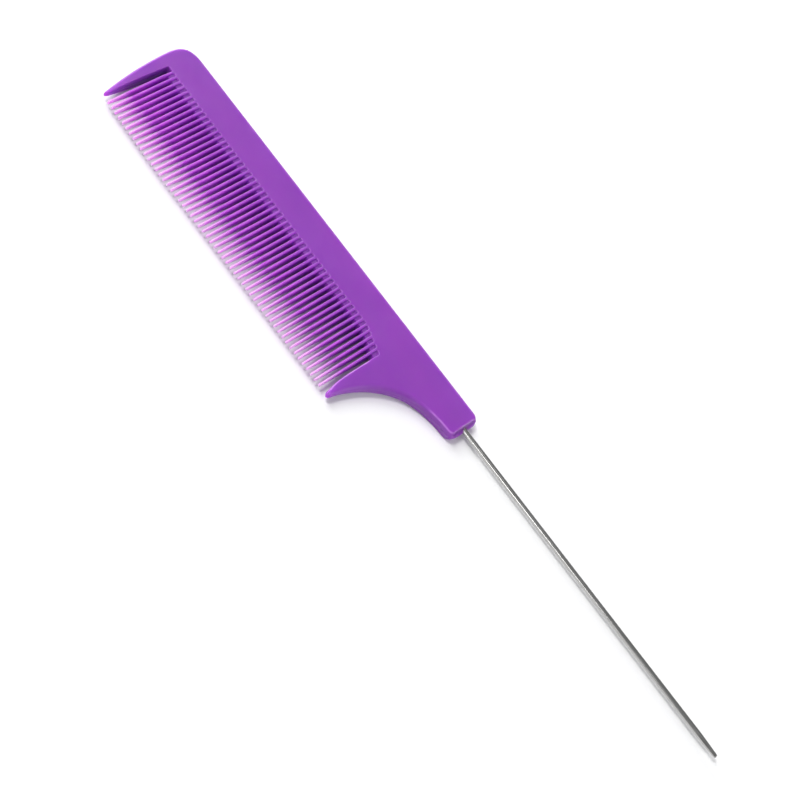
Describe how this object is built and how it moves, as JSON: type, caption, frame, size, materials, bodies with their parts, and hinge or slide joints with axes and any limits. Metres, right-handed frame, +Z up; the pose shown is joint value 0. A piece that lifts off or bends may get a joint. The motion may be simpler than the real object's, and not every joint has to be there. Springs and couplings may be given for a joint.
{
  "type": "rat tail comb",
  "caption": "Fine-tooth hair comb with a straight spine, guard teeth at both ends and a thin steel pin tail for parting and sectioning hair.",
  "frame": {"origin": "centre of the whole outline (comb body and pin together) on the back face that the comb lies on", "axes": "+X from the comb's head to the point of the pin, the teeth point to -Y, +Z up out of the front face; the back face lies on Z = 0"},
  "size_m": [0.2216, 0.0304, 0.004],
  "materials": {
    "purple_plastic": "satin-gloss injection-moulded purple plastic, slightly translucent where the teeth are thin",
    "polished_steel": "drawn and polished bright steel wire, smooth"
  },
  "bodies": {
    "root": {"comb_body": "purple_plastic", "pin_tail": "polished_steel"}
  },
  "joints": []
}
